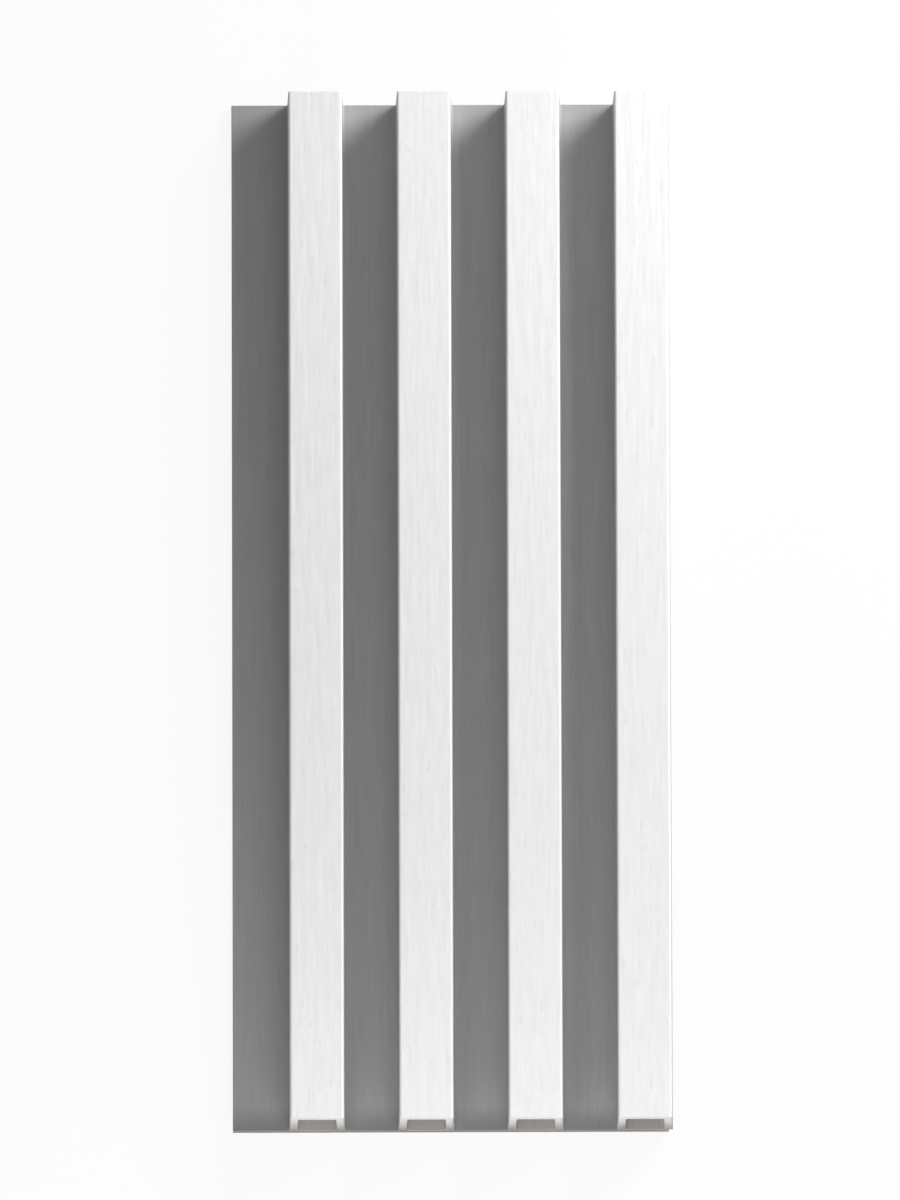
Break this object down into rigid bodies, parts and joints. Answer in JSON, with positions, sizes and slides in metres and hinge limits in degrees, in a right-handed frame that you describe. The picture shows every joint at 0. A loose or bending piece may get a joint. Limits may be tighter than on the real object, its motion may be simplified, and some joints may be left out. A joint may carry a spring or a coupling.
{
  "type": "fluted wall panel",
  "caption": "Short length of extruded fluted wall panel: hollow tapered ribs on a thin web, a flat back to bond to a wall, and a flange edge that laps the next panel.",
  "frame": {"origin": "middle of the flat back, on the floor that the panel lies on", "axes": "+X across the ribs, from the flange edge to the last rib; +Y along the ribs; +Z out of the panel's face"},
  "size_m": [0.1612, 0.388, 0.024],
  "materials": {
    "panel": "white brushed film on the ribs, matt grey in the grooves between them"
  },
  "bodies": {
    "root": {"fluted_panel": "panel"}
  },
  "joints": []
}
